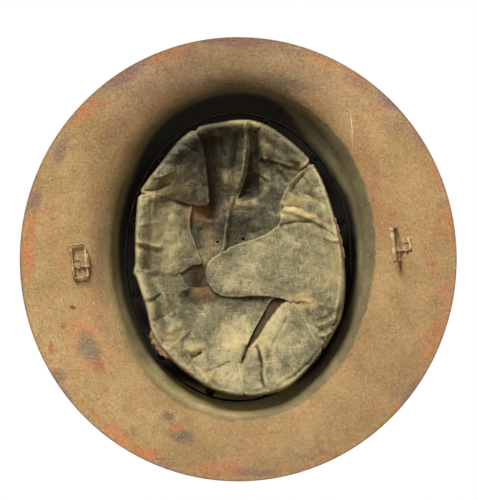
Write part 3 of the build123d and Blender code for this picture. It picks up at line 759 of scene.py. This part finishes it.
cloth(
    "tongue_front_flap", "tongue_front", GREY_AND_SHADED, lift=2, seed=6, hole=(243.3, 239.2, 1.6),
    cut=(0.065, 0.122, 0.005), run=(243.5, 121, 262, 124), inner=(
        268, 140, 284, 156, 302, 163, 305, 176, 292, 190, 287, 204, 286, 222, 276, 250, 262, 284,
        240, 291, 214, 291, 213, 270, 219, 254, 223, 243, 223.5, 234, 225.5, 220, 228, 206, 231.5, 195,
        237, 187.5, 240.5, 178, 242.5, 165, 244, 150, 244.5, 138,
    ), back_step=[
        (0, 4, -4.2, *FRONT_EDGE),
    ], round=[
        (10, 9, 7.5, 252, 128, 254, 151, 252, 172, 249, 190), (20, 3, -1, 236, 204, 248, 206, 260, 203),
        (30, 6, -0.9, 238, 212, 250, 218, 262, 230),
    ], back_ramp=[
        (12, 15, 8.5, 226, 197, 240, 199, 252, 198, 262, 192, 269, 180),
    ], sharp=[
        (20, 3, -1.2, 268, 172, 276, 180, 280, 194), (20, 2.4, 1.2, 280, 170, 284, 178, 288, 184),
    ])

cloth(
    "tongue_front_fold", "tongue_front", GREY_AND_SHADED, lift=4.4, seed=16, hole=(217.5, 242.2, 1.5),
    cut=(0.0505, 0.122, 0.005), run=(197, 128, 247, 121), inner=(
        250, 150, 248, 170, 242, 190, 236, 204, 234, 224, 232, 250, 228, 290, 214, 291, 186, 291,
        178, 276, 182, 262, 192, 244, 186, 226, 188, 208, 190, 180, 188, 150,
    ), round=[
        (12, 9, 7.5, 208, 134, 211, 165, 212, 196, 210, 220), (15, 6, -2.4, 229, 134, 229, 160, 225, 190),
        (20, 6, 1.2, 200, 200, 204, 220, 206, 244),
    ], sharp=[
        (20, 2.4, 1.4, 220, 128, 222, 150, 220, 176), (20, 2.4, 1.6, 236, 130, 236, 150, 233, 170),
    ])

cloth(
    "tongue_front_right_flap", "tongue_front_right", GREY_AND_SHADED, lift=-1, seed=12,
    cut=(0.049, 0.054, 0.002), run=(140, 193, 197, 128), inner=(
        200, 139, 206, 159, 208, 182, 210, 206, 200, 206, 192, 205, 176, 200, 160, 196, 146, 194,
    ), round=[
        (0, 13, 2.6, 138, 196, 160, 198, 176, 203), (20, 8, -1, 165, 168, 180, 172, 196, 170),
    ], sharp=[
        (10, 2, -1.6, 198, 132, 204, 155, 207, 182, 209, 204), (20, 2, 2.2, 180, 142, 190, 148, 199, 152),
    ])

cloth(
    "tongue_wearers_right", "tongue_right", DUSTY, lift=2.1, seed=12, thick=0.6,
    cut=(0.049, 0.06, 0.0028), run=(134, 274, 141, 191), inner=(
        160, 192, 178, 196, 192, 204, 192, 208, 189, 226.5, 194, 241, 199, 255, 203, 264, 192, 266,
        183, 272, 172, 277, 152, 277,
    ), sharp=[
        (10, 2.5, -1.4, 192, 205, 189, 226, 194, 241, 203, 264),
        (20, 2, -1.3, 155, 192, 153, 204, 152, 218), (20, 2, -1.1, 147, 198, 148, 212, 149, 224),
        (15, 1.8, -2.2, 136, 241, 148, 244, 162, 248),
    ], round=[
        (20, 8, 1.2, 160, 205, 163, 232, 160, 262), (20, 2.5, 1.4, 136, 246, 148, 250, 160, 252),
        (20, 4, 2.4, 160, 196, 175, 199, 190, 207), (20, 5, -1, 172, 214, 178, 232, 180, 252),
    ])

cloth(
    "tongue_back_right_flap", "tongue_back_right", DUSTY, lift=1.2, seed=12,
    cut=(0.101, 0.091, 0.0062), run=(247, 396, 134, 268), inner=(
        150, 271, 168, 272, 182, 274, 185, 286, 198, 287, 214, 286, 240, 284, 270, 288, 276, 298,
        271, 300, 262, 316, 254, 330, 247, 345, 243, 356, 240, 366, 243, 380,
    ), round=[
        (20, 7, 1.5, 148, 271, 166, 272, 184, 274), (20, 6, 2, 186, 290, 192, 300, 204, 312),
        (20, 12, -1.6, 200, 318, 216, 338, 238, 352), (30, 4, -0.9, 172, 300, 180, 320, 188, 340),
        (20, 4, -2.2, 156, 326, 170, 330, 184, 325), (20, 3.5, 1.8, 158, 337, 172, 342, 186, 340),
        (20, 5, -2.4, 174, 353, 190, 350, 206, 343), (15, 5, 3, 186, 290, 187, 300, 196, 309, 206, 314),
        (20, 7, -1.4, 222, 330, 236, 340, 244, 352),
    ], sharp=[
        (10, 2, 2.4, 247, 345, 244, 354, 240, 366), (30, 2.2, 1, 230, 372, 222, 380, 214, 384),
        (30, 3, -0.9, 160, 330, 176, 334, 190, 332), (20, 1.6, 2, 149, 302, 155, 299, 161, 293),
        (20, 2.5, -1.8, 163, 292, 167, 304, 173, 316), (20, 1.5, 2.2, 190, 358, 196, 356, 203, 352),
        (20, 2, 1.8, 203, 373, 216, 368, 232, 361), (20, 2, -1.6, 195, 364, 205, 376, 210, 386),
    ])

cloth(
    "tongue_back_left_flap", "tongue_back_left", DUSTY, lift=0, seed=2,
    cut=(0.062, 0.078, 0.004), run=(318, 352, 238, 396), inner=(
        240, 380, 238, 366, 238, 352, 240, 342, 247, 328, 258, 312, 270, 299, 276, 288, 310, 286,
        326, 306, 322, 334,
    ), step=[
        (0, 16, 4.2, 292, 299, 286, 302, 281, 305, 268, 322, 256.5, 340, 248.5, 349),
    ], sharp=[
        (10, 2.2, 3, 248, 349, 245, 355, 241, 364),
        (10, 2.5, 1.6, 288, 316, 280, 330, 272, 345, 265, 365),
        (6, 2, 3.2, 256, 345, 259, 352, 262, 364, 261, 375, 262, 382, 266, 390),
        (10, 2.4, -1.6, 260, 345, 263, 354, 265, 364, 264, 375, 266, 384),
        (10, 1.8, 2.4, 247, 346, 244, 354, 241, 365),
        (10, 2, 1.6, 323, 337, 319, 349, 309, 363, 294, 376, 276, 386),
    ], round=[
        (20, 5, -1.4, 252, 352, 252, 366, 252, 384), (20, 4, 1, 272, 352, 284, 350, 300, 340),
        (20, 3, 1.2, 276, 372, 288, 366, 300, 356), (20, 5, -1.4, 262, 366, 276, 360, 290, 352),
    ])


# Band, felt, strip, cap and pad of the liner

RING_STEPS = 540
RING_Z = 0.026
BAND_MIDDLE = -1.0                   # millimetres, the middle of the band's oval in y
FELT_SECTION = (-1.9, -4.9, 26.6, 49.9)      # offsets from the liner's edge, then heights, in millimetres
FELT_BULGES = ((161, 345, 18, 5.2), (346, 238, 32, 3.2))     # pixels, reach in pixels, millimetres outward
BULGE_SAG = 3.0
COVER_SECTION = (
    (-1.2, 40.0), (-1.15, 38.0), (-1.1, 35.5), (-1.15, 33.0), (-1.2, 30.5), (-1.25, 28.6), (-1.5, 27.2),
    (-2.2, 26.0), (-3.35, 25.6), (-4.5, 26.0), (-5.25, 27.0), (-5.5, 28.8), (-5.55, 31.0), (-5.5, 34.5),
    (-5.5, 38.0))
COVER_TEARS = ((160, 347, 20), (346, 242, 27))
TEAR_TO = -3.4                       # the tears reach no further in than this offset
RIBBON_HALF = (79.95, 102.45)
RIBBON_LOW = 42.0
RIBBON_HIGH = 52.0
RIBBON_ROWS = 9
CAP_LOW = 50.4
CAP_RISE = 52.9
CAP_WIDTH = 31.6
CAP_POINTS = (97, 17)                # along and across one arm
CROWN_Y = -0.0045
CAP_HOLE = 0.0046


def quads(columns, rows, joined=True, closed=False):
    """Faces between the points of a grid, column by column."""
    faces = []
    for i in range(columns if joined else columns - 1):
        here, follow = i * rows, (i + 1) % columns * rows
        for j in range(rows if closed else rows - 1):
            over = (j + 1) % rows
            faces.append((here + j, follow + j, follow + over, here + over))
    return faces


def edge_walk():
    """Even points round the liner's edge in metres, with their outward directions and pixels."""
    pixels = resampled(LINER_RING, 0.2)
    pixels = pixels[np.linspace(0, len(pixels), RING_STEPS, endpoint=False).astype(int)]
    pixels = sum(np.roll(pixels, k, axis=0) for k in range(-3, 4)) / 7
    here = np.array([place(px, py, RING_Z)[:2] for px, py in pixels])
    along = np.roll(here, -1, axis=0) - np.roll(here, 1, axis=0)
    along /= np.linalg.norm(along, axis=1)[:, None]
    out = np.stack([along[:, 1], -along[:, 0]], axis=1)
    return here, out, pixels


def swept_ring(section, closed, rough, seed, bulges=(), tears=()):
    """Points and faces of a section carried round the liner's edge; rough is in millimetres."""
    here, out, pixels = edge_walk()
    points = []
    for index, (start, away, pixel) in enumerate(zip(here, out, pixels)):
        for row, (off, height) in enumerate(section):
            at = Vector((start[0] * 90, start[1] * 90, height * 0.35 + seed))
            push = off + rough * noise.noise(at)
            rise = height + rough * noise.noise(at * 1.7 + Vector((9, 9, 9)))
            for px, py, reach, amount in bulges:
                near = math.exp(-(math.dist(pixel, (px, py)) / reach) ** 4)
                near *= np.clip((38 - height) / 8, 0, 1) * np.clip((off + 5.5) / 3, 0, 1)
                push += amount * near * (1 + 0.45 * noise.noise(Vector((index * 0.42, row * 0.6, seed))))
                rise -= BULGE_SAG * near
            points.append((*(start + away * push * MM), rise * MM))
    faces = []
    for face in quads(RING_STEPS, len(section), closed=closed):
        index, row = divmod(face[0], len(section))
        fray = 5 * noise.noise(Vector((index * 0.21, row * 0.9, 4.0)))
        torn = any(math.dist(pixels[index], (px, py)) + fray < reach for px, py, reach in tears)
        if not (torn and section[row][0] > TEAR_TO):
            faces.append(face)
    return points, faces


def rounded_section(out_off, in_off, low, high, sides=5, rows=7):
    """A tall section with rounded ends, as (offset, height) pairs."""
    middle, half = (out_off + in_off) / 2, (out_off - in_off) / 2
    section = []
    top, foot = high - half, low + half
    for turned, side, start, end in ((0, in_off, top, foot), (1, out_off, foot, top)):
        for k in range(sides + 1):
            turn = math.pi * (turned + k / sides)
            section.append((middle + half * math.cos(turn), start + half * math.sin(turn)))
        section += [(side, start + (end - start) * k / rows) for k in range(1, rows)]
    return section


def cap_strip(name, half, sink, along_x, nodes):
    """One arm of the cap: a strip over half an oval, with the rivet's hole at its top."""
    points = []
    columns, rows = CAP_POINTS
    for i in range(columns):
        turn = math.pi * i / (columns - 1)
        for j in range(rows):
            side = (j / (rows - 1) - 0.5) * CAP_WIDTH
            wave = 0.35 * noise.noise(Vector((i * 0.15, j * 0.3, sink))) - 0.2
            reach = (half - sink + wave) * math.cos(turn)
            height = (CAP_RISE - sink + min(wave, 0)) * math.sin(turn)
            x, y = (reach, side) if along_x else (side, reach)
            points.append((x * MM, (y + BAND_MIDDLE) * MM, (CAP_LOW + height) * MM))
    faces = []
    for face in quads(columns, rows, joined=False):
        x, y = (sum(points[k][axis] for k in face) / 4 for axis in (0, 1))
        if math.hypot(x, y - CROWN_Y) > CAP_HOLE:
            faces.append(face)
    obj = new_object(name, points, faces, DARK, "oilcloth", nodes, 0.6)
    side = points[::rows]


felt = swept_ring(rounded_section(*FELT_SECTION), True, 0.35, 3.0, FELT_BULGES)
felt_ring = new_object("felt_ring", *felt, BROWN_FELT, "brown_felt", ("felt_band",))

cover = swept_ring(COVER_SECTION, False, 0.3, 5.0, (), COVER_TEARS)
band_cover = new_object("band_cover", *cover, DUSTY, "oilcloth", ("head_band",), 0.6)

ribbon = []
for index in range(RING_STEPS):
    turn = 2 * math.pi * index / RING_STEPS
    for row in range(RIBBON_ROWS):
        height = RIBBON_LOW + (RIBBON_HIGH - RIBBON_LOW) * row / (RIBBON_ROWS - 1)
        if row in (0, RIBBON_ROWS - 1):
            height += 0.4 * noise.noise(Vector((index * 0.4, row, 2.0)))
        wave = 0.28 * noise.noise(Vector((index * 0.12, row * 0.4, 8.0)))
        x = (RIBBON_HALF[0] + wave) * math.cos(turn)
        y = (RIBBON_HALF[1] + wave) * math.sin(turn) + BAND_MIDDLE
        ribbon.append((x * MM, y * MM, height * MM))
strip_ring = new_object("buffer_ribbon", ribbon, quads(RING_STEPS, RIBBON_ROWS), SHADE_DARK_CLOTH, "oilcloth",
                        ("buffer_strip",), 0.5)

cap_strip("cap_arm_across", 72.6, 0.45, True, ("liner_cap",))
cap_strip("cap_arm_along", 95.1, 1.15, False, ())

crown_felt = linked("felt_pad", frame["nodes"]["crown_pad"].data.copy())
remesh = crown_felt.modifiers.new("remesh", "REMESH")
remesh.mode = "VOXEL"
remesh.voxel_size = 0.0014
crown_felt.modifiers.new("smooth", "SMOOTH").iterations = 6
pad = bpy.data.meshes.new_from_object(crown_felt.evaluated_get(bpy.context.evaluated_depsgraph_get()))
crown_felt.modifiers.clear()
crown_felt.data = pad
for vertex in pad.vertices:
    vertex.co -= vertex.normal * 0.0002 * (1 + noise.noise(vertex.co * 220))
for face in pad.polygons:
    face.use_smooth = True
pad.materials.clear()
pad.materials.append(GREY_FELT)
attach(crown_felt, "helmet")
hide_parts("crown_pad")

for names, material in (
        (("shell", "crown_rivet", "split_rivet_right", "split_rivet_left"), SHELL),
        (("strap_clip_right", "strap_clip_left", "strap_loop_right", "strap_loop_left"), PAINTED),
        (("crown_washer",), STEEL),
        (("rubber_buffers",), RUBBER)):
    for name in names:
        materials = frame["nodes"][name].data.materials
        materials.clear()
        materials.append(material)


# Floor, world, lamps and camera

FLOOR_HALF = 4.0
FLOOR_Z = -0.0002
FLOOR_FADE = (0.30, 0.80)            # metres from the middle over which the floor clears


def stage_floor():
    """A pale floor that clears with distance, and from below."""
    mesh = bpy.data.meshes.new("floor")
    corners = [(x * FLOOR_HALF, y * FLOOR_HALF, 0) for x, y in ((-1, -1), (1, -1), (1, 1), (-1, 1))]
    mesh.from_pydata(corners, [], [(0, 1, 2, 3)])
    floor = linked("floor", mesh)
    floor.location.z = FLOOR_Z
    n = Nodes(bpy.data.materials.new("floor"))
    here = n.add("NewGeometry").outputs
    away = n.vector("LENGTH", here["Position"])["Value"]
    clear = n.math("MAXIMUM", here["Backfacing"], n.span(away, *FLOOR_FADE))
    pale = n.add("BsdfDiffuse", {"Color": (0.86, 0.86, 0.86, 1)}).outputs[0]
    through = n.add("BsdfTransparent").outputs[0]
    n.feed(n.out.inputs[0], n.add("MixShader", {0: clear, 1: pale, 2: through}).outputs[0])
    mesh.materials.append(n.owner)
    floor.visible_shadow = False
    floor.visible_diffuse = False


def world():
    """White where it is seen, and dim as a light."""
    bpy.context.scene.world = bpy.data.worlds.new("world")
    n = Nodes(bpy.context.scene.world, "OutputWorld")
    path = n.add("LightPath").outputs
    seen = n.math("MAXIMUM", path["Is Camera Ray"], path["Is Transmission Ray"])
    strength = n.span(seen, 0, 1, 0.09, 1.0, smooth=False)
    back = n.add("Background", {"Strength": strength, "Color": (1, 1, 1, 1)})
    n.feed(n.out.inputs[0], back.outputs[0])


def lamp(name, where, at, size, power):
    data = bpy.data.lights.new(name, "AREA")
    data.shape = "RECTANGLE"
    data.size, data.size_y = size
    data.energy = power
    obj = linked(name, data)
    obj.location = where
    obj.rotation_euler = (Vector(at) - Vector(where)).to_track_quat("-Z", "Y").to_euler()


def camera():
    data = bpy.data.cameras.new("camera")
    data.sensor_fit = "VERTICAL"
    data.sensor_height = 36.0
    data.lens = data.sensor_height / (PHOTO_HEIGHT * PIXEL) * EYE
    data.clip_start = 0.01
    obj = linked("camera", data)
    obj.location = (CAMERA_X, CAMERA_Y, -EYE)
    obj.rotation_euler = (math.pi, 0, 0)
    bpy.context.scene.camera = obj


stage_floor()
world()
lamp("key_below", (-0.38, -0.98, -0.96), (0, 0, 0.03), (0.35, 0.7), 34)
lamp("fill_below", (0.1, -0.2, -1.5), (0, 0, 0.03), (1.2, 1.2), 7)
lamp("key_above", (0.7, -0.9, 1.3), (0, 0, 0.05), (0.8, 0.8), 34)
lamp("fill_above", (-1.0, 0.6, 0.9), (0, 0, 0.05), (1.0, 1.0), 14)
camera()
bpy.context.scene.view_settings.view_transform = "Standard"
